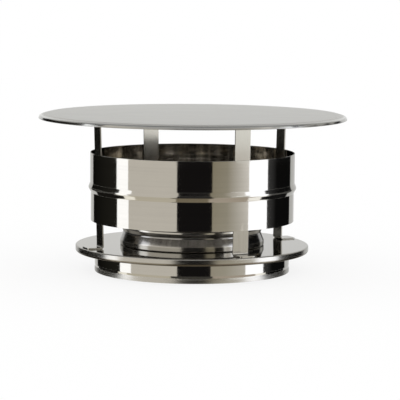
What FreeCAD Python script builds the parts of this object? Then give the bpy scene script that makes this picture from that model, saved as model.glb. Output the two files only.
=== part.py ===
import FreeCAD, Part
import math
import os

from FreeCAD import Vector

# Chimney cap for a twin-wall flue, made of stainless sheet: two collars, a base plate,
# a wind ring and a rain cap on four bent struts.
# Sizes are millimetres. The origin is the centre of the outer collar's bottom edge,
# +Z runs up the flue, and angles are counted from the front, -Y, towards +X.

# Sheet thicknesses
collar_wall = 0.6
ring_wall = 0.6
plate_sheet = 0.8
cap_sheet = 0.8
strut_sheet = 1.2

# Outer collar: as wide as the flue's casing, with a locking groove and a top flange
casing_radius = 87.5
collar_height = 22.8
groove_bottom = 3.0
groove_middle = 4.3
groove_top = 6.4
groove_depth = 0.4
groove_bend = 0.8
flange_width = 7.0
flange_bend = 1.4

# Base plate: an annular disc whose rim is turned down and hemmed inwards
plate_overhang = 17.2
rim_height = 6.3
rim_bend = 1.3
hem_bend = 2.2
hem_width = 2.8

# Inner collar: a spigot for the flue liner below the plate, a wider neck through it,
# a bead that sits on the plate, a waist and a flared mouth with an upright lip
spigot_radius = 61.6
spigot_setback = 2.0
shoulder_drop = 2.6
neck_step = 1.0
neck_bend = 0.6
mouth_rise = 17.5
mouth_flare = 1.1
mouth_lip = 1.5
mouth_lip_bend = 1.0
waist_inset = 0.8
waist_drop = 5.5
waist_bend = 2.0
bead_height = 2.0
bead_shoulder = 4.6
bead_lift = 0.35
bead_slope = 0.2
bead_bend = 0.8
bead_foot_bend = 0.4
hole_clearance = 0.3

# Wind ring: an open cylinder with a swaged bead, a little narrower below the bead
ring_oversize = 4.3
ring_height = 60.8
ring_gap = 21.8
ring_step = 0.7
ring_bead_height = 29.7
ring_bead_half = 4.2
ring_bead_depth = 1.7
ring_bead_bend = 2.5
ring_root_bend = 1.5

# Struts: flat strips with a foot bent outwards and a head bent inwards
strut_width = 15.0
strut_bearings = (28.3, 116.7, 205.5, 293.0)
strut_lean = 2.2
strut_clearance = 0.15
strut_bend = 1.2
foot_edge_gap = 1.0
head_length = 14.0
tab_corner = 2.0

# Rain cap: a flat disc with a lip that slopes gently, then steeply
cap_overhang = 46.2
cap_gap = 33.8
lip_run = 6.5
lip_knee_run = 1.1
lip_knee_drop = 1.4
lip_drop = 3.9
lip_crease_bend = 3.0
lip_knee_bend = 1.6

# Heights and radii that follow
plate_radius = casing_radius + plate_overhang
ring_radius = casing_radius + ring_oversize
cap_radius = ring_radius + cap_overhang
neck_radius = spigot_radius + neck_step
plate_top = collar_height + plate_sheet
ring_bottom = plate_top + ring_gap
ring_top = ring_bottom + ring_height
ring_inside = ring_radius - ring_wall
cap_underside = ring_top + cap_gap
cap_top = cap_underside + cap_sheet
strut_top_face = math.sqrt(ring_inside**2 - (strut_width / 2) ** 2) - strut_clearance


def rounded_wire(corners):
    """An open wire in the XZ plane through (x, z, bend radius) corners, with tangent arcs."""
    points = [Vector(x, 0, z) for x, z, bend in corners]
    edges = []
    start = points[0]
    for before, corner, after, bend in zip(
        points, points[1:], points[2:], [c[2] for c in corners[1:]]
    ):
        back = (before - corner).normalize()
        ahead = (after - corner).normalize()
        half_angle = back.getAngle(ahead) / 2
        reach = bend / math.tan(half_angle)
        middle = (back + ahead).normalize()
        arc_start = corner + back * reach
        arc_middle = corner + middle * (bend / math.sin(half_angle) - bend)
        arc_end = corner + ahead * reach
        edges.append(Part.LineSegment(start, arc_start).toShape())
        edges.append(Part.Arc(arc_start, arc_middle, arc_end).toShape())
        start = arc_end
    edges.append(Part.LineSegment(start, points[-1]).toShape())
    return Part.Wire(edges)


def sheet_section(corners, thickness):
    """The section of a bent sheet. A positive thickness lies to the left of the path."""
    return rounded_wire(corners).makeOffset2D(thickness, 2, True, True, False)


def spun_sheet(corners, thickness):
    section = sheet_section(corners, thickness)
    return section.revolve(Vector(0, 0, 0), Vector(0, 0, 1), 360)


def outer_collar():
    flange_underside = collar_height - collar_wall
    corners = [
        (casing_radius, 0, 0),
        (casing_radius, groove_bottom, groove_bend),
        (casing_radius - groove_depth, groove_middle, groove_bend),
        (casing_radius, groove_top, groove_bend),
        (casing_radius, flange_underside, flange_bend),
        (casing_radius + flange_width, flange_underside, 0),
    ]
    return spun_sheet(corners, collar_wall)


def base_plate():
    rim_bottom = plate_top - rim_height
    corners = [
        (neck_radius + hole_clearance, plate_top, 0),
        (plate_radius, plate_top, rim_bend),
        (plate_radius, rim_bottom, hem_bend),
        (plate_radius - hem_bend - hem_width, rim_bottom, 0),
    ]
    return spun_sheet(corners, -plate_sheet)


def inner_collar():
    mouth = plate_top + mouth_rise
    shoulder = collar_height - shoulder_drop
    mouth_radius = neck_radius + mouth_flare
    bead_radius = neck_radius + bead_height
    bead_bottom = plate_top + bead_lift
    corners = [
        (spigot_radius, spigot_setback, 0),
        (spigot_radius, shoulder - neck_step, neck_bend),
        (neck_radius, shoulder, neck_bend),
        (neck_radius, bead_bottom - bead_slope, bead_foot_bend),
        (bead_radius, bead_bottom, bead_bend),
        (bead_radius, plate_top + bead_shoulder, bead_bend),
        (neck_radius - waist_inset, mouth - waist_drop, waist_bend),
        (mouth_radius, mouth - mouth_lip, mouth_lip_bend),
        (mouth_radius, mouth, 0),
    ]
    return spun_sheet(corners, collar_wall)


def wind_ring():
    lower_radius = ring_radius - ring_step
    bead_middle = ring_bottom + ring_bead_height
    corners = [
        (lower_radius, ring_bottom, 0),
        (lower_radius, bead_middle - ring_bead_half, ring_root_bend),
        (ring_radius + ring_bead_depth, bead_middle, ring_bead_bend),
        (ring_radius, bead_middle + ring_bead_half, ring_root_bend),
        (ring_radius, ring_top, 0),
    ]
    return spun_sheet(corners, ring_wall)


def rain_cap():
    crease_radius = cap_radius - lip_run
    corners = [
        (0, cap_top, 0),
        (crease_radius, cap_top, lip_crease_bend),
        (cap_radius - lip_knee_run, cap_top - lip_knee_drop, lip_knee_bend),
        (cap_radius, cap_top - lip_drop, 0),
    ]
    return spun_sheet(corners, -cap_sheet)


def strut(bearing):
    """One strut: its inner face is drawn from the foot's tip up to the head's tip."""
    slope = strut_lean / (ring_top - plate_top)
    face_gap = strut_sheet * math.sqrt(1 + slope**2)
    top_face = strut_top_face - face_gap

    def inner_face(z):
        return top_face - slope * (ring_top - z)

    foot_face = inner_face(plate_top)
    head_underside = cap_underside - strut_sheet
    head_face = inner_face(head_underside)
    foot_tip = plate_radius - rim_bend - foot_edge_gap
    corners = [
        (foot_tip, plate_top, 0),
        (foot_face, plate_top, strut_bend + strut_sheet),
        (head_face, head_underside, strut_bend),
        (head_face - head_length, head_underside, 0),
    ]
    section = sheet_section(corners, -strut_sheet)
    section.translate(Vector(0, -strut_width / 2, 0))
    strip = section.extrude(Vector(0, strut_width, 0))
    tips = [
        edge
        for edge in strip.Edges
        if abs(edge.tangentAt(edge.FirstParameter).z) > 0.999
        and abs(edge.Length - strut_sheet) < strut_sheet / 100
        and abs(abs(edge.CenterOfMass.y) - strut_width / 2) < strut_sheet / 100
    ]
    strip = strip.makeFillet(tab_corner, tips)
    strip.rotate(Vector(0, 0, 0), Vector(0, 0, 1), bearing - 90)
    return strip


pieces = {
    "outer_collar": outer_collar(),
    "base_plate": base_plate(),
    "inner_collar": inner_collar(),
    "wind_ring": wind_ring(),
    "rain_cap": rain_cap(),
}
strut_names = ("strut_front", "strut_right", "strut_rear", "strut_left")
for name, bearing in zip(strut_names, strut_bearings):
    pieces[name] = strut(bearing)

os.makedirs("parts", exist_ok=True)
for name, shape in pieces.items():
    shape.exportStep(os.path.join("parts", name + ".step"))
    print(name, shape.ShapeType, len(shape.Solids), shape.isValid(), round(shape.Volume, 1))
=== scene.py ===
import bmesh
import bpy
import math

from mathutils import Matrix, Vector


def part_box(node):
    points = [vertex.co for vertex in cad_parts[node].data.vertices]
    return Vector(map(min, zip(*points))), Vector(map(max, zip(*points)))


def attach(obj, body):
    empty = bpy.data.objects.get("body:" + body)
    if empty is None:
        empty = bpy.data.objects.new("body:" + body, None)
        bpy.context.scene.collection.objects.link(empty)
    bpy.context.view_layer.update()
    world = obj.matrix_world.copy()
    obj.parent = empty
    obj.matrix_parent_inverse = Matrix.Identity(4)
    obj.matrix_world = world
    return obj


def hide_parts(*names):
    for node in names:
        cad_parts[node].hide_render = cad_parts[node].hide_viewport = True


# Chimney cap in bright stainless sheet: two collars, a base plate, a wind ring and a satin
# rain cap on four bent struts. Lengths are metres. Bearings are degrees from the front, -Y,
# towards +X.

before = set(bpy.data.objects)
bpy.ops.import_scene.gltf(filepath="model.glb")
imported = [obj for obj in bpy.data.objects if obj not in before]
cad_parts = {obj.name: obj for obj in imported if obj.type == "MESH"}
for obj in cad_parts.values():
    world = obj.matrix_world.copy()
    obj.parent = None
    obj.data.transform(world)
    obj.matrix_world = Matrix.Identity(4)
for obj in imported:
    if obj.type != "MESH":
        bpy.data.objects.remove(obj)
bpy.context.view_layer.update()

# Sheet thicknesses
COLLAR_WALL = 0.0006
RING_WALL = 0.0006
PLATE_SHEET = 0.0008
CAP_SHEET = 0.0008
STRUT_SHEET = 0.0012

# Places and radii taken from the frame
COLLAR_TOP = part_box("outer_collar")[1].z
PLATE_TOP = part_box("base_plate")[1].z
PLATE_RADIUS = -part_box("base_plate")[0].x
MOUTH_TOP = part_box("inner_collar")[1].z
RING_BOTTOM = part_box("wind_ring")[0].z
RING_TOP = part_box("wind_ring")[1].z
CAP_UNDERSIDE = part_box("strut_front")[1].z
CAP_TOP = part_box("rain_cap")[1].z
CAP_RADIUS = -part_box("rain_cap")[0].x

# Outer collar
FLANGE_WIDTH = 0.0070
FLANGE_BEND = 0.0014
CASING_RADIUS = -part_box("outer_collar")[0].x - FLANGE_WIDTH
GROOVE = ((0.0030, 0.0), (0.0043, 0.0004), (0.0064, 0.0))
GROOVE_BEND = 0.0008

# Base plate
RIM_HEIGHT = 0.0063
RIM_BEND = 0.0013
HEM_BEND = 0.0022
HEM_WIDTH = 0.0028

# Inner collar
SPIGOT_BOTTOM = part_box("inner_collar")[0].z
SPIGOT_RADIUS = 0.0616
SHOULDER_DROP = 0.0026
NECK_STEP = 0.0010
NECK_BEND = 0.0006
MOUTH_FLARE = 0.0011
MOUTH_LIP = 0.0015
MOUTH_LIP_BEND = 0.0010
WAIST_INSET = 0.0008
WAIST_DROP = 0.0055
WAIST_BEND = 0.0020
BEAD_HEIGHT = 0.0020
BEAD_SHOULDER = 0.0046
BEAD_LIFT = 0.00035
BEAD_SLOPE = 0.0002
BEAD_BEND = 0.0008
BEAD_FOOT_BEND = 0.0004
HOLE_CLEARANCE = 0.0003

# Wind ring
RING_OVERSIZE = 0.0043
RING_STEP = 0.0007
RING_BEAD_HEIGHT = 0.0297
RING_BEAD_HALF = 0.0042
RING_BEAD_DEPTH = 0.0017
RING_BEAD_BEND = 0.0025
RING_ROOT_BEND = 0.0015
RING_RADIUS = CASING_RADIUS + RING_OVERSIZE

# Struts
STRUT_BEARINGS = {
    "strut_front": 28.3,
    "strut_right": 116.7,
    "strut_rear": 205.5,
    "strut_left": 293.0,
}
STRUT_WIDTH = 0.0150
STRUT_LEAN = 0.0022
STRUT_CLEARANCE = 0.00015
STRUT_BEND = 0.0012
FOOT_EDGE_GAP = 0.0010
HEAD_LENGTH = 0.0140
TAB_CORNER = 0.0020

# Rain cap
LIP_RUN = 0.0065
LIP_KNEE_RUN = 0.0011
LIP_KNEE_DROP = 0.0014
LIP_DROP = 0.0039
LIP_CREASE_BEND = 0.0030
LIP_KNEE_BEND = 0.0016

# How finely the sheets are made
ROUND_STEPS = 256
LOOP_STEP = 0.0085
BEND_STEP = math.radians(9)
FEWEST_BEND_STEPS = 2
STRUT_BEND_STEPS = 10
TAB_CORNER_STEPS = 6
EDGE_BREAK = 0.00012
EDGE_BREAK_STEPS = 2
EDGE_BREAK_ANGLE = math.radians(50)
WAVE_SIZE = 0.045
WAVE_DEPTH = 0.00010
SMOOTH_ANGLE = math.radians(34)

# What counts as the same place, as the pole of a round sheet, and as a strip's side face
SAME_PLACE = 1e-6
POLE_RADIUS = 1e-5
SIDE_FACING = 0.9


def only_object(piece):
    """Makes this piece the active one, and the only one selected."""
    bpy.ops.object.select_all(action="DESELECT")
    piece.select_set(True)
    bpy.context.view_layer.objects.active = piece


def pick(piece, kind, test):
    """Selects, in edit mode, just the vertices, edges or faces that pass the test."""
    bpy.ops.mesh.select_mode(type=kind)
    bpy.ops.mesh.select_all(action="DESELECT")
    form = bmesh.from_edit_mesh(piece.data)
    items = {"VERT": form.verts, "EDGE": form.edges, "FACE": form.faces}[kind]
    for item in items:
        if test(item):
            item.select_set(True)
    bmesh.update_edit_mesh(piece.data)


def apply_modifier(piece, kind, **settings):
    """Puts a modifier with these settings into the mesh."""
    only_object(piece)
    modifier = piece.modifiers.new(kind.lower(), kind)
    for name, value in settings.items():
        setattr(modifier, name, value)
    bpy.ops.object.modifier_apply(modifier=modifier.name)


def apply_place(piece):
    """Puts the piece's place, turn and scale into its mesh."""
    only_object(piece)
    bpy.ops.object.transform_apply(location=True, rotation=True, scale=True)


def bend_reach(before, corner, after, bend):
    """How far from a corner its tangent arc starts."""
    back = (before - corner).normalized()
    ahead = (after - corner).normalized()
    return bend / math.tan(back.angle(ahead) / 2)


def on_ring(vertex, place):
    """Is the vertex on the ring of this (radius, height)?"""
    radius = math.hypot(vertex.co.x, vertex.co.y)
    return abs(radius - place[0]) < SAME_PLACE and abs(vertex.co.z - place[1]) < SAME_PLACE


def on_line(vertex, place):
    """Is the vertex on the line along Y through this place?"""
    return abs(vertex.co.x - place.x) + abs(vertex.co.z - place.z) < SAME_PLACE


def sheet_waves():
    """Long shallow waves, as thin rolled sheet has."""
    waves = bpy.data.textures.get("sheet_waves")
    if not waves:
        waves = bpy.data.textures.new("sheet_waves", "CLOUDS")
        waves.noise_scale = WAVE_SIZE
        waves.noise_depth = 1
    return waves


def finish_sheet(piece, thickness, wave_depth):
    """Gives a modelled surface its waves, its thickness and its broken edges."""
    if wave_depth:
        apply_modifier(
            piece,
            "DISPLACE",
            texture=sheet_waves(),
            strength=wave_depth,
            mid_level=0.5,
            texture_coords="LOCAL",
        )
    apply_modifier(piece, "SOLIDIFY", thickness=thickness, offset=-1, use_even_offset=True)
    apply_modifier(
        piece,
        "BEVEL",
        width=EDGE_BREAK,
        segments=EDGE_BREAK_STEPS,
        limit_method="ANGLE",
        angle_limit=EDGE_BREAK_ANGLE,
    )
    only_object(piece)
    bpy.ops.object.shade_smooth_by_angle(angle=SMOOTH_ANGLE)
    apply_modifier(piece, "WEIGHTED_NORMAL", keep_sharp=True)


def spun_sheet(name, corners, thickness, wave_depth=WAVE_DEPTH):
    """A round sheet: a circle extruded and scaled from corner to corner, then bent at each.

    Corners are (radius, height, bend). A positive thickness lies to the left of the path.
    """
    places = [Vector((radius, height)) for radius, height, _ in corners]
    bpy.ops.object.select_all(action="DESELECT")
    bpy.ops.mesh.primitive_circle_add(
        vertices=ROUND_STEPS, radius=places[0].x, location=(0, 0, places[0].y)
    )
    piece = bpy.context.object
    piece.name = piece.data.name = name
    apply_place(piece)
    bpy.ops.object.mode_set(mode="EDIT")
    bpy.ops.mesh.select_all(action="SELECT")
    here = places[0]
    for start, end in zip(places, places[1:]):
        steps = max(1, round((end - start).length / LOOP_STEP))
        for step in range(1, steps + 1):
            there = start.lerp(end, step / steps)
            scale = max(there.x, POLE_RADIUS) / max(here.x, POLE_RADIUS)
            bpy.ops.mesh.extrude_region_move(
                TRANSFORM_OT_translate={"value": (0, 0, there.y - here.y)}
            )
            bpy.ops.transform.resize(value=(scale, scale, 1), center_override=(0, 0, there.y))
            here = there
    if here.x < POLE_RADIUS:
        bpy.ops.mesh.merge(type="CENTER")
    bends = [bend for _, _, bend in corners[1:-1]]
    for before, corner, after, bend in zip(places, places[1:], places[2:], bends):
        turn = math.pi - (before - corner).angle(after - corner)
        pick(piece, "EDGE", lambda edge: all(on_ring(v, corner) for v in edge.verts))
        bpy.ops.mesh.bevel(
            offset=bend_reach(before, corner, after, bend),
            segments=max(FEWEST_BEND_STEPS, round(turn / BEND_STEP)),
            affect="EDGES",
            clamp_overlap=False,
        )
    face_outwards(piece, places, thickness)
    bpy.ops.object.mode_set(mode="OBJECT")
    finish_sheet(piece, abs(thickness), wave_depth)
    return piece


def face_outwards(piece, places, thickness):
    """Turns all faces away from the side that the sheet's thickness lies on."""
    start, end = places[0], places[1]
    right = Vector((end.y - start.y, start.x - end.x)) * math.copysign(1, thickness)

    def distance_from_start(face):
        centre = face.calc_center_median()
        return (Vector((centre.xy.length, centre.z)) - start).length

    form = bmesh.from_edit_mesh(piece.data)
    form.normal_update()
    face = min(form.faces, key=distance_from_start)
    centre = face.calc_center_median()
    outward = Vector((centre.x, centre.y, 0)).normalized() * right.x + Vector((0, 0, right.y))
    if face.normal.dot(outward) < 0:
        bpy.ops.mesh.select_all(action="SELECT")
        bpy.ops.mesh.flip_normals()


def outer_collar():
    flange_underside = COLLAR_TOP - COLLAR_WALL
    corners = [(CASING_RADIUS, 0, 0)]
    corners += [(CASING_RADIUS - depth, height, GROOVE_BEND) for height, depth in GROOVE]
    corners += [
        (CASING_RADIUS, flange_underside, FLANGE_BEND),
        (CASING_RADIUS + FLANGE_WIDTH, flange_underside, 0),
    ]
    return spun_sheet("outer_collar_sheet", corners, COLLAR_WALL)


def base_plate():
    neck_radius = SPIGOT_RADIUS + NECK_STEP
    rim_bottom = PLATE_TOP - RIM_HEIGHT
    corners = [
        (neck_radius + HOLE_CLEARANCE, PLATE_TOP, 0),
        (PLATE_RADIUS, PLATE_TOP, RIM_BEND),
        (PLATE_RADIUS, rim_bottom, HEM_BEND),
        (PLATE_RADIUS - HEM_BEND - HEM_WIDTH, rim_bottom, 0),
    ]
    return spun_sheet("base_plate_sheet", corners, -PLATE_SHEET, wave_depth=0)


def inner_collar():
    neck_radius = SPIGOT_RADIUS + NECK_STEP
    shoulder = COLLAR_TOP - SHOULDER_DROP
    mouth_radius = neck_radius + MOUTH_FLARE
    bead_radius = neck_radius + BEAD_HEIGHT
    bead_bottom = PLATE_TOP + BEAD_LIFT
    corners = [
        (SPIGOT_RADIUS, SPIGOT_BOTTOM, 0),
        (SPIGOT_RADIUS, shoulder - NECK_STEP, NECK_BEND),
        (neck_radius, shoulder, NECK_BEND),
        (neck_radius, bead_bottom - BEAD_SLOPE, BEAD_FOOT_BEND),
        (bead_radius, bead_bottom, BEAD_BEND),
        (bead_radius, PLATE_TOP + BEAD_SHOULDER, BEAD_BEND),
        (neck_radius - WAIST_INSET, MOUTH_TOP - WAIST_DROP, WAIST_BEND),
        (mouth_radius, MOUTH_TOP - MOUTH_LIP, MOUTH_LIP_BEND),
        (mouth_radius, MOUTH_TOP, 0),
    ]
    return spun_sheet("inner_collar_sheet", corners, COLLAR_WALL)


def wind_ring():
    """The ring, whose faces towards the axis take the second of its materials."""
    lower_radius = RING_RADIUS - RING_STEP
    bead_middle = RING_BOTTOM + RING_BEAD_HEIGHT
    corners = [
        (lower_radius, RING_BOTTOM, 0),
        (lower_radius, bead_middle - RING_BEAD_HALF, RING_ROOT_BEND),
        (RING_RADIUS + RING_BEAD_DEPTH, bead_middle, RING_BEAD_BEND),
        (RING_RADIUS, bead_middle + RING_BEAD_HALF, RING_ROOT_BEND),
        (RING_RADIUS, RING_TOP, 0),
    ]
    piece = spun_sheet("wind_ring_sheet", corners, RING_WALL)
    for face in piece.data.polygons:
        face.material_index = int(face.normal.xy.dot(face.center.xy) < 0)
    return piece


def rain_cap():
    crease_radius = CAP_RADIUS - LIP_RUN
    corners = [
        (CAP_RADIUS, CAP_TOP - LIP_DROP, 0),
        (CAP_RADIUS - LIP_KNEE_RUN, CAP_TOP - LIP_KNEE_DROP, LIP_KNEE_BEND),
        (crease_radius, CAP_TOP, LIP_CREASE_BEND),
        (0, CAP_TOP, 0),
    ]
    return spun_sheet("rain_cap_sheet", corners, CAP_SHEET, wave_depth=0)


def strut():
    """A strip towards +X: its inner face is extruded from foot to head, and then bent.

    Its sheared sides take the second of its materials.
    """
    slope = STRUT_LEAN / (RING_TOP - PLATE_TOP)
    ring_inside = RING_RADIUS - RING_WALL
    half_width = STRUT_WIDTH / 2
    outer_top = math.sqrt(ring_inside**2 - half_width**2) - STRUT_CLEARANCE
    top_face = outer_top - STRUT_SHEET * math.sqrt(1 + slope**2)
    head_underside = CAP_UNDERSIDE - STRUT_SHEET
    foot_face = top_face - slope * (RING_TOP - PLATE_TOP)
    head_face = top_face - slope * (RING_TOP - head_underside)
    foot_tip = PLATE_RADIUS - RIM_BEND - FOOT_EDGE_GAP
    path = [
        Vector((foot_tip, 0, PLATE_TOP)),
        Vector((foot_face, 0, PLATE_TOP)),
        Vector((head_face, 0, head_underside)),
        Vector((head_face - HEAD_LENGTH, 0, head_underside)),
    ]
    bends = (STRUT_BEND + STRUT_SHEET, STRUT_BEND)

    bpy.ops.object.select_all(action="DESELECT")
    bpy.ops.mesh.primitive_plane_add(size=STRUT_WIDTH, location=path[0])
    piece = bpy.context.object
    piece.name = piece.data.name = "strut_sheet"
    apply_place(piece)
    bpy.ops.object.mode_set(mode="EDIT")
    pick(piece, "EDGE", lambda edge: all(v.co.x > path[0].x for v in edge.verts))
    bpy.ops.mesh.delete(type="VERT")
    bpy.ops.mesh.select_mode(type="VERT")
    bpy.ops.mesh.select_all(action="SELECT")
    bpy.ops.transform.translate(value=(half_width, 0, 0))
    for start, end in zip(path, path[1:]):
        bpy.ops.mesh.extrude_region_move(TRANSFORM_OT_translate={"value": end - start})
    for before, corner, after, bend in zip(path, path[1:], path[2:], bends):
        pick(piece, "EDGE", lambda edge: all(on_line(v, corner) for v in edge.verts))
        bpy.ops.mesh.bevel(
            offset=bend_reach(before, corner, after, bend),
            segments=STRUT_BEND_STEPS,
            affect="EDGES",
            clamp_overlap=False,
        )
    tips = (path[0], path[-1])
    pick(piece, "VERT", lambda vertex: any(on_line(vertex, tip) for tip in tips))
    bpy.ops.mesh.bevel(
        offset=TAB_CORNER, segments=TAB_CORNER_STEPS, affect="VERTICES", clamp_overlap=False
    )
    form = bmesh.from_edit_mesh(piece.data)
    form.normal_update()
    shank = max(form.faces, key=lambda face: face.calc_area())
    if shank.normal.x > 0:
        bpy.ops.mesh.select_all(action="SELECT")
        bpy.ops.mesh.flip_normals()
    bpy.ops.object.mode_set(mode="OBJECT")
    finish_sheet(piece, STRUT_SHEET, wave_depth=0)
    for face in piece.data.polygons:
        face.material_index = int(abs(face.normal.y) > SIDE_FACING)
    return piece


def turned_copy(piece, name, bearing):
    """A copy with its own mesh, turned from +X to its bearing."""
    twin = piece.copy()
    twin.data = piece.data.copy()
    twin.name = twin.data.name = name
    bpy.context.scene.collection.objects.link(twin)
    twin.rotation_euler.z = math.radians(bearing - 90)
    apply_place(twin)
    return twin


# Colours of the finishes and of the painted shade, and the tint that they take at grazing angles
STEEL = (0.56, 0.545, 0.52)
SATIN_STEEL = (0.75, 0.75, 0.735)
LIP_STEEL = (0.52, 0.52, 0.51)
SHEARED_STEEL = (0.44, 0.43, 0.41)
# Painted shade: the hem's brown stands for the shadowed floor that the hem mirrors
HEM_PAINTED_SHADE_STEEL = (0.28, 0.255, 0.22)
WARM_STEEL = (0.61, 0.585, 0.545)
# Painted shade: the inner collar's waist is darker, as it lies in shade under the wind ring
WAIST_PAINTED_SHADE_STEEL = (0.40, 0.395, 0.395)
EDGE_TINT = (0.74, 0.74, 0.73)
SATIN_EDGE_TINT = (0.95, 0.95, 0.94)

# Grain and smudges. Scales are repeats per metre, and grain runs along an axis where its
# scale is small. Noise runs from about 0.3 to 0.7.
NOISE_RANGE = (0.3, 0.7)
ROUND_GRAIN = (4, 4, 700)
UPRIGHT_GRAIN = (600, 600, 5)
STREAK_GRAIN = (240, 240, 5)
FLAT_GRAIN = (5, 600, 600)
GRAIN_DETAIL = 4
GRAIN_DULLING = 0.012
SMUDGE_SCALE = 38
SMUDGE_DETAIL = 2
SMUDGE_DULLING = 0.012
SMUDGE_SHARE = 0.8
POLISHED_UNEVENNESS = 0.02
SATIN_UNEVENNESS = 0.035
STREAKED_UNEVENNESS = 0.45

# Worn edges: how sharp a place is where wear starts and where it is full, and what it adds
WORN_SHARPNESS = (0.515, 0.58)
WORN_DULLING = 0.12
WORN_BRIGHTNESS = 0.12

# Worked areas, and areas of darker colour that is painted shade on the collar's waist and the
# plate's hem: heights and half widths, and the share of a half width that is worked in full
FULL_SHARE = 0.7
WAIST_SHADE_HEIGHT = 0.0090
WAIST_SHADE_HALF = 0.0046
RING_BEAD_REACH = RING_BEAD_HALF * 1.3
COLLAR_FOOT_HEIGHT = GROOVE[0][0] * 0.5
COLLAR_FOOT_REACH = GROOVE[0][0] * 1.2
HEM_REACH = HEM_BEND * 1.15
RIM_START = PLATE_RADIUS - RIM_BEND * 1.5
LIP_START = CAP_RADIUS - LIP_RUN * 0.72
LIP_REACH = LIP_RUN * 0.34


def add(tree, kind, values=None, **settings):
    """Adds a shader node, sets its properties and gives its inputs their values."""
    made = tree.nodes.new("ShaderNode" + kind)
    for name, value in settings.items():
        setattr(made, name, value)
    for name, value in (values or {}).items():
        made.inputs[name].default_value = value
    return made


def spread(tree, source, low, high, from_low=0.0, from_high=1.0):
    """Maps a value that runs from from_low to from_high onto low to high."""
    ranged = add(
        tree,
        "MapRange",
        {"From Min": from_low, "From Max": from_high, "To Min": low, "To Max": high},
    )
    tree.links.new(source, ranged.inputs["Value"])
    return ranged.outputs["Result"]


def calculate(tree, operation, first, second):
    """One step of arithmetic on two sockets, or on a socket and a number."""
    maths = add(tree, "Math", operation=operation)
    for socket, term in zip(maths.inputs, (first, second)):
        if isinstance(term, (int, float)):
            socket.default_value = term
        else:
            tree.links.new(term, socket)
    return maths.outputs["Value"]


def cloud(tree, place, scale, detail):
    """Soft noise on the piece's own coordinates. Scale is one number, or one for each axis."""
    scales = scale if isinstance(scale, tuple) else (scale, scale, scale)
    noise = add(tree, "TexNoise", {"Scale": 1.0, "Detail": detail})
    mapping = add(tree, "Mapping", {"Scale": scales})
    tree.links.new(place, mapping.inputs["Vector"])
    tree.links.new(mapping.outputs["Vector"], noise.inputs["Vector"])
    return noise.outputs["Fac"]


def near_height(tree, place, height, reach):
    """1 at this height, falling to 0 at a distance of reach above and below it."""
    split = add(tree, "SeparateXYZ")
    tree.links.new(place, split.inputs[0])
    above = calculate(tree, "SUBTRACT", split.outputs["Z"], height)
    away = calculate(tree, "ABSOLUTE", above, 0)
    return spread(tree, away, 1.0, 0.0, reach * FULL_SHARE, reach)


def beyond_radius(tree, place, radius, reach):
    """0 up to this radius, rising to 1 at a distance of reach outside it."""
    flat = add(tree, "VectorMath", operation="MULTIPLY")
    without_height = (1, 1, 0)
    flat.inputs[1].default_value = without_height
    tree.links.new(place, flat.inputs[0])
    length = add(tree, "VectorMath", operation="LENGTH")
    tree.links.new(flat.outputs["Vector"], length.inputs[0])
    return spread(tree, length.outputs["Value"], 0.0, 1.0, radius, radius + reach)


def steel(
    name,
    colour,
    roughness,
    grain,
    relief,
    worked=None,
    tone_and_painted_shade=None,
    edge=EDGE_TINT,
    unevenness=POLISHED_UNEVENNESS,
):
    """Stainless sheet with rolled grain, smudges, dull worked bends and bright worn edges.

    Relief is how deep its grain is. Worked holds a function for the share of working at a
    place, and the roughness there. The next pair holds such a function too, and a darker colour
    there: painted shade on the collar's waist and the plate's hem. Edge is the tint at grazing
    angles, and unevenness the share by which grain and smudges lighten or darken the steel.
    """
    material = bpy.data.materials.new(name)
    material.use_nodes = True
    tree = material.node_tree
    shader = tree.nodes["Principled BSDF"]
    shader.inputs["Metallic"].default_value = 1
    shader.inputs["Specular Tint"].default_value = (*edge, 1)
    place = add(tree, "TexCoord").outputs["Object"]
    lines = cloud(tree, place, grain, GRAIN_DETAIL)
    smudges = cloud(tree, place, SMUDGE_SCALE, SMUDGE_DETAIL)
    sharpness = add(tree, "NewGeometry").outputs["Pointiness"]
    worn = spread(tree, sharpness, 0.0, 1.0, *WORN_SHARPNESS)

    clean, smudged = roughness - SMUDGE_DULLING, roughness + SMUDGE_DULLING
    finish = spread(tree, smudges, clean, smudged, *NOISE_RANGE)
    dulled_lines = spread(tree, lines, -GRAIN_DULLING, GRAIN_DULLING, *NOISE_RANGE)
    finish = calculate(tree, "ADD", finish, dulled_lines)
    if worked:
        share, dulled = worked
        dulling = spread(tree, share(tree, place), 0.0, dulled - roughness)
        finish = calculate(tree, "ADD", finish, dulling)
    finish = calculate(tree, "ADD", finish, spread(tree, worn, 0.0, WORN_DULLING))
    tree.links.new(finish, shader.inputs["Roughness"])

    smudging = unevenness * SMUDGE_SHARE
    shaded_lines = spread(tree, lines, -unevenness, unevenness, *NOISE_RANGE)
    shaded_smudges = spread(tree, smudges, 1 - smudging, 1 + smudging, *NOISE_RANGE)
    shade = calculate(tree, "ADD", shaded_lines, shaded_smudges)
    shade = calculate(tree, "ADD", shade, spread(tree, worn, 0.0, WORN_BRIGHTNESS))
    tinted = add(tree, "VectorMath", operation="SCALE")
    tinted.inputs[0].default_value = colour
    tree.links.new(shade, tinted.inputs["Scale"])
    surface = tinted.outputs["Vector"]
    # A darker colour over part of the sheet: painted shade on the collar's waist and the plate's
    # hem
    if tone_and_painted_shade:
        darkened_share, darker_colour = tone_and_painted_shade
        mixed = add(tree, "Mix", data_type="RGBA")
        mixed.inputs["B"].default_value = (*darker_colour, 1)
        tree.links.new(darkened_share(tree, place), mixed.inputs["Factor"])
        tree.links.new(surface, mixed.inputs["A"])
        surface = mixed.outputs["Result"]
    tree.links.new(surface, shader.inputs["Base Color"])

    bump = add(tree, "Bump", {"Strength": 1.0, "Distance": relief})
    tree.links.new(lines, bump.inputs["Height"])
    tree.links.new(bump.outputs["Normal"], shader.inputs["Normal"])
    return material


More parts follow.
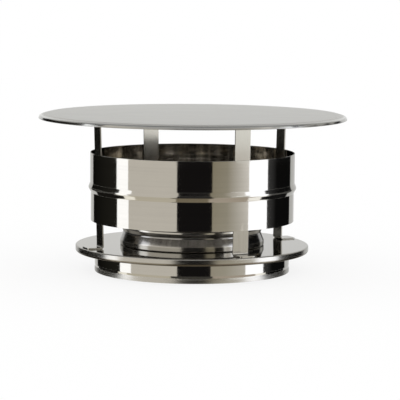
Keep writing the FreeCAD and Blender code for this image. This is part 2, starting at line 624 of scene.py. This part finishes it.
def ring_bead_area(tree, place):
    return near_height(tree, place, RING_BOTTOM + RING_BEAD_HEIGHT, RING_BEAD_REACH)


def rim_area(tree, place):
    return beyond_radius(tree, place, RIM_START, RIM_BEND)


def collar_foot_area(tree, place):
    return near_height(tree, place, COLLAR_FOOT_HEIGHT, COLLAR_FOOT_REACH)


# Painted shade: a darker band on the inner collar's waist, under the wind ring
def waist_painted_shade_area(tree, place):
    return near_height(tree, place, PLATE_TOP + WAIST_SHADE_HEIGHT, WAIST_SHADE_HALF)


# Painted shade: brown at the hem's bottom curl, for the shadowed floor that it mirrors
def hem_painted_shade_area(tree, place):
    return near_height(tree, place, PLATE_TOP - RIM_HEIGHT, HEM_REACH)


def lip_area(tree, place):
    return beyond_radius(tree, place, LIP_START, LIP_REACH)


def dress(piece, node, slot, *materials):
    """Gives a piece its materials and its body, and hides the solid that it stands for. Its slot
    is not used.
    """
    for material in materials:
        piece.data.materials.append(material)
    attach(piece, "root")
    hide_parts(node)


ring_steel = steel(
    "polished_ring_steel",
    STEEL,
    roughness=0.055,
    grain=ROUND_GRAIN,
    relief=1e-6,
    worked=(ring_bead_area, 0.08),
)
collar_steel = steel(
    "polished_collar_steel",
    STEEL,
    roughness=0.07,
    grain=ROUND_GRAIN,
    relief=1e-6,
    worked=(collar_foot_area, 0.27),
)
# The inner collar's waist takes painted shade, a darker band under the wind ring
neck_steel = steel(
    "brushed_collar_steel",
    STEEL,
    roughness=0.15,
    grain=ROUND_GRAIN,
    relief=1e-6,
    tone_and_painted_shade=(waist_painted_shade_area, WAIST_PAINTED_SHADE_STEEL),
)
# The plate's hem takes painted shade, a brown that stands for the shadowed floor it mirrors
plate_steel = steel(
    "polished_plate_steel",
    STEEL,
    roughness=0.06,
    grain=FLAT_GRAIN,
    relief=5e-7,
    worked=(rim_area, 0.2),
    tone_and_painted_shade=(hem_painted_shade_area, HEM_PAINTED_SHADE_STEEL),
)
strut_steel = steel(
    "brushed_strut_steel", STEEL, roughness=0.11, grain=UPRIGHT_GRAIN, relief=1e-6
)
sheared_steel = steel(
    "sheared_edge_steel", SHEARED_STEEL, roughness=0.24, grain=UPRIGHT_GRAIN, relief=4e-6
)
cap_steel = steel(
    "satin_cap_steel",
    SATIN_STEEL,
    roughness=0.42,
    grain=FLAT_GRAIN,
    relief=4e-6,
    worked=(lip_area, 0.13),
    tone_and_painted_shade=(lip_area, LIP_STEEL),
    edge=SATIN_EDGE_TINT,
    unevenness=SATIN_UNEVENNESS,
)
ring_inside_steel = steel(
    "rolled_ring_inside_steel",
    WARM_STEEL,
    roughness=0.05,
    grain=STREAK_GRAIN,
    relief=1e-4,
    unevenness=STREAKED_UNEVENNESS,
)

dress(outer_collar(), "outer_collar", "bright_collar", collar_steel)
dress(base_plate(), "base_plate", "bright_plate", plate_steel)
dress(inner_collar(), "inner_collar", "bright_collar", neck_steel)
dress(wind_ring(), "wind_ring", "bright_ring", ring_steel, ring_inside_steel)
dress(rain_cap(), "rain_cap", "satin_cap", cap_steel)
one_strut = strut()
for node, bearing in STRUT_BEARINGS.items():
    one_copy = turned_copy(one_strut, node + "_sheet", bearing)
    dress(one_copy, node, "bright_strut", strut_steel, sheared_steel)
bpy.data.objects.remove(one_strut)

# Studio: a round tent of walls, flags and soft boxes that shows only as reflections in the
# steel. The light on the object is the world's plain white, and the tent casts no shadow.
# The front sky stands outside the tent's wall, and the slits, the cards and the right flag's
# peak stand inside it.
TENT_RADIUS = 1.6
OUTER_RADIUS = 1.7
SLIT_RADIUS = 1.55
TENT_FOOT = -0.6
CANOPY_HEIGHT = 1.6
OVERHEAD_RADIUS = 0.7
OVERHEAD_HEIGHT = CANOPY_HEIGHT - 0.02
CARD_RADIUS = 0.3
UNDER_RADIUS = 0.36
GROUND_SHADE_HEIGHT = TENT_FOOT + 0.01
PANEL_STEPS = (40, 24)


def shared_glow():
    """One glow for all panels. Each takes its shades from its own colour attribute."""
    material = bpy.data.materials.get("panel_glow")
    if material:
        return material
    material = bpy.data.materials.new("panel_glow")
    material.use_nodes = True
    tree = material.node_tree
    tree.nodes.clear()
    shades = add(tree, "Attribute", attribute_name="shade")
    emission = add(tree, "Emission")
    output = add(tree, "OutputMaterial")
    tree.links.new(shades.outputs["Color"], emission.inputs["Color"])
    tree.links.new(emission.outputs[0], output.inputs[0])
    return material


def panel(name, start, end, foot, top, low, high=None):
    """A curved panel between two bearings. foot and top are (radius, height).

    low holds the shades at its foot and high those at its top, each one colour, or two
    colours for its start and its end.
    """

    def both_ends(colours):
        return colours if isinstance(colours[0], tuple) else (colours, colours)

    low_start, low_end = (Vector(colour) for colour in both_ends(low))
    high_start, high_end = (Vector(colour) for colour in both_ends(high or low))
    bpy.ops.object.select_all(action="DESELECT")
    bpy.ops.mesh.primitive_grid_add(
        x_subdivisions=PANEL_STEPS[0], y_subdivisions=PANEL_STEPS[1], size=1
    )
    piece = bpy.context.object
    piece.name = piece.data.name = name
    shades = piece.data.color_attributes.new("shade", "FLOAT_COLOR", "POINT")
    for vertex in piece.data.vertices:
        # The flat grid is one metre wide and high, with its centre at the origin
        along = vertex.co.x + 0.5
        up = vertex.co.y + 0.5
        bearing = math.radians(start + (end - start) * along)
        radius = foot[0] + (top[0] - foot[0]) * up
        height = foot[1] + (top[1] - foot[1]) * up
        shade = low_start.lerp(low_end, along).lerp(high_start.lerp(high_end, along), up)
        shades.data[vertex.index].color = (*shade, 1)
        vertex.co = (math.sin(bearing) * radius, -math.cos(bearing) * radius, height)
    piece.data.materials.append(shared_glow())
    piece.visible_camera = False
    piece.visible_diffuse = False
    piece.visible_shadow = False
    piece.visible_transmission = False
    piece.visible_volume_scatter = False


def upright(name, start, end, foot, top, low, high=None, radius=TENT_RADIUS):
    """A panel of the tent's wall, between two bearings and two heights."""
    panel(name, start, end, (radius, foot), (radius, top), low, high)


def level(name, start, end, colour, inner=UNDER_RADIUS, outer=OUTER_RADIUS, height=TENT_FOOT):
    """A panel of the tent's ground or canopy, between two bearings and two radii."""
    panel(name, start, end, (inner, height), (outer, height), colour)


# Shades of the panels. The right wall has a pair of them for each of its bearings.
LEFT_WHITE = (1.76, 1.78, 1.79)
RIGHT_WHITE = (1.84, 1.88, 1.96)
CREAM = (0.795, 0.758, 0.677)
FRONT_BLACK = (0.010, 0.009, 0.009)
LEFT_BLACK = ((0.006, 0.006, 0.005), (0.020, 0.019, 0.015))
RIGHT_BLACK = (0.006, 0.006, 0.006)
RIGHT_GREY = (0.070, 0.070, 0.070)
SKY = (0.53, 0.52, 0.49)
SLIT = (0.62, 0.61, 0.58)
WALL_BEARINGS = (21.5, 38.0, 64.0)
WALL_LOW = ((0.50, 0.46, 0.37), (0.53, 0.50, 0.41), (0.64, 0.61, 0.53))
WALL_HIGH = ((0.355, 0.32, 0.23), (0.41, 0.375, 0.29), (1.02, 0.99, 0.93))

upright("front_flag", -16.5, 21.5, TENT_FOOT, 0.38, FRONT_BLACK)
upright("front_flag_band", -16.5, 21.5, 0.38, 0.95, (0.09, 0.09, 0.085))
upright("front_flag_head", -16.5, 21.5, 0.95, 1.36, FRONT_BLACK)
upright("left_wall", -74.0, -16.5, TENT_FOOT, 1.30, CREAM)
for number, (start, end) in enumerate(zip(WALL_BEARINGS, WALL_BEARINGS[1:])):
    low = WALL_LOW[number:number + 2]
    high = WALL_HIGH[number:number + 2]
    upright(f"right_wall_foot_{number}", start, end, TENT_FOOT, -0.25, low)
    upright(f"right_wall_{number}", start, end, -0.25, -0.05, low, high)
    upright(f"right_wall_head_{number}", start, end, -0.05, 1.30, high)
upright("left_softbox", -91.0, -74.0, TENT_FOOT, 1.02, LEFT_WHITE)
upright("right_softbox", 64.0, 90.5, TENT_FOOT, 1.06, RIGHT_WHITE)
upright("left_flag", -146.0, -91.0, TENT_FOOT, 0.72, LEFT_BLACK)
upright("left_flag_head", -120.0, -91.0, 0.72, 1.00, LEFT_BLACK[1])
upright("left_flag_peak", -100.0, -74.0, 1.02, 1.35, LEFT_BLACK[1])
upright("right_flag_edge", 90.5, 106.0, TENT_FOOT, 0.80, (RIGHT_GREY, RIGHT_BLACK))
upright("right_flag", 106.0, 122.0, TENT_FOOT, 0.66, RIGHT_BLACK)
upright("right_flag_end", 122.0, 140.0, TENT_FOOT, 0.52, RIGHT_BLACK)
upright("right_flag_peak", 82.0, 103.0, 0.92, 1.16, RIGHT_BLACK, radius=SLIT_RADIUS)
upright("left_rear", -180.0, -146.0, TENT_FOOT, 0.5, ((1.0, 1.0, 0.99), (0.84, 0.84, 0.83)))
upright("right_rear", 140.0, 180.0, TENT_FOOT, 0.5, ((0.78, 0.78, 0.77), (0.98, 0.98, 0.98)))
upright("rear_sky", 140.0, 214.0, 0.5, CANOPY_HEIGHT, (0.94, 0.94, 0.93), (0.36, 0.35, 0.33))
upright("front_sky", -146.0, 140.0, 0.4, CANOPY_HEIGHT, SKY, radius=OUTER_RADIUS)
for side, start, end, foot in (("left", -146.0, -91.0, 0.105), ("right", 90.5, 140.0, 0.02)):
    upright(side + "_slit", start, end, foot, foot + 0.05, SLIT, radius=SLIT_RADIUS)
    upright(side + "_low_slit", start, end, -0.36, -0.30, SLIT, radius=SLIT_RADIUS)
upright("rear_strut_card", 42.0, 55.0, 0.02, 0.30, (1.24, 1.22, 1.17), radius=SLIT_RADIUS)
upright(
    "front_strut_card",
    42.0,
    57.0,
    0.0865,
    0.16,
    (1.00, 1.00, 0.94),
    (1.30, 1.30, 1.24),
    radius=CARD_RADIUS,
)
level("front_canopy", -90.0, 90.0, (0.58, 0.58, 0.58), 0.0, OUTER_RADIUS, CANOPY_HEIGHT)
level("rear_canopy", 90.0, 270.0, (0.38, 0.38, 0.38), 0.0, OUTER_RADIUS, CANOPY_HEIGHT)
level("overhead", -180.0, 180.0, (0.24, 0.24, 0.24), 0.0, OVERHEAD_RADIUS, OVERHEAD_HEIGHT)
# Painted shade: a dark disc below the object that stands for the floor in its shadow, seen only
# in the steel
level("painted_shade_under_ground", -180.0, 180.0, (0.17, 0.15, 0.11), 0.0, UNDER_RADIUS)
level("front_ground", -25.0, 25.0, (0.26, 0.22, 0.15))
level("front_ground_shade", -25.0, 25.0, (0.065, 0.062, 0.055), 0.85, 1.40, GROUND_SHADE_HEIGHT)
level("right_ground", 25.0, 82.0, (0.56, 0.49, 0.40))
level("right_softbox_ground", 82.0, 100.0, (1.5, 1.48, 1.40))
level("right_flag_ground", 100.0, 146.0, (0.012, 0.012, 0.012))
level("rear_ground", 146.0, 214.0, (0.50, 0.46, 0.40))
level("left_flag_ground", -146.0, -99.0, (0.014, 0.013, 0.011))
level("left_softbox_ground", -99.0, -84.0, (1.4, 1.36, 1.22))
level("left_ground", -84.0, -25.0, (0.72, 0.67, 0.54))

# Floor: pale, with the object's shadow. The camera sees it as the white that the world is.
# The steel mirrors the tent's ground in its place, but for a disc of it inside the collar.
FLOOR_RADIUS = 3.0
FLOOR_SIDES = 96
FLOOR_DROP = 0.0002
UNDER_FLOOR_DROP = FLOOR_DROP * 0.75
FLOOR_COLOUR = (0.86, 0.86, 0.86, 1)
WHITE = (1, 1, 1, 1)
SHADOW_SHARE = 0.16


def floor_material():
    material = bpy.data.materials.new("pale_floor")
    material.use_nodes = True
    tree = material.node_tree
    shader = tree.nodes["Principled BSDF"]
    shader.inputs["Roughness"].default_value = 1
    shader.inputs["Specular IOR Level"].default_value = 0
    shader.inputs["Emission Color"].default_value = WHITE
    seen = add(tree, "LightPath").outputs["Is Camera Ray"]
    colour = add(tree, "Mix", data_type="RGBA")
    colour.inputs["A"].default_value = FLOOR_COLOUR
    colour.inputs["B"].default_value = (SHADOW_SHARE, SHADOW_SHARE, SHADOW_SHARE, 1)
    tree.links.new(seen, colour.inputs["Factor"])
    tree.links.new(colour.outputs["Result"], shader.inputs["Base Color"])
    tree.links.new(spread(tree, seen, 0.0, 1 - SHADOW_SHARE), shader.inputs["Emission Strength"])
    return material


def floor_disc(name, radius, height):
    bpy.ops.object.select_all(action="DESELECT")
    bpy.ops.mesh.primitive_circle_add(
        vertices=FLOOR_SIDES, radius=radius, fill_type="NGON", location=(0, 0, height)
    )
    disc = bpy.context.object
    disc.name = disc.data.name = name
    return disc


pale_floor = floor_material()
floor = floor_disc("floor", FLOOR_RADIUS, -FLOOR_DROP)
floor.data.materials.append(pale_floor)
floor.visible_glossy = False
under_floor = floor_disc("floor_under_collar", CASING_RADIUS, -UNDER_FLOOR_DROP)
under_floor.data.materials.append(pale_floor)

world = bpy.data.worlds.new("white_studio")
bpy.context.scene.world = world
world.use_nodes = True
background = world.node_tree.nodes["Background"]
background.inputs["Color"].default_value = WHITE
background.inputs["Strength"].default_value = 1

# Camera at the reference view
CAMERA_DISTANCE = 1.897
CAMERA_HEIGHT = 0.2752
CAMERA_PITCH = math.radians(6.38)
CAMERA_YAW = math.radians(0.21)
CAMERA_ROLL = math.radians(0.464)
FOCAL_PIXELS = 2124
PHOTO_PIXELS = 400
SENSOR = 36
FARTHEST_SEEN = 100

bpy.ops.object.camera_add(location=(0, -CAMERA_DISTANCE, CAMERA_HEIGHT))
camera = bpy.context.object
camera.data.sensor_width = SENSOR
camera.data.lens = FOCAL_PIXELS * SENSOR / PHOTO_PIXELS
camera.data.clip_end = FARTHEST_SEEN
yaw = Matrix.Rotation(-CAMERA_YAW, 3, "Z")
pitch = Matrix.Rotation(math.pi / 2 - CAMERA_PITCH, 3, "X")
roll = Matrix.Rotation(CAMERA_ROLL, 3, "Z")
camera.rotation_euler = (yaw @ pitch @ roll).to_euler()
bpy.context.scene.camera = camera

bpy.context.scene.view_settings.view_transform = "Standard"
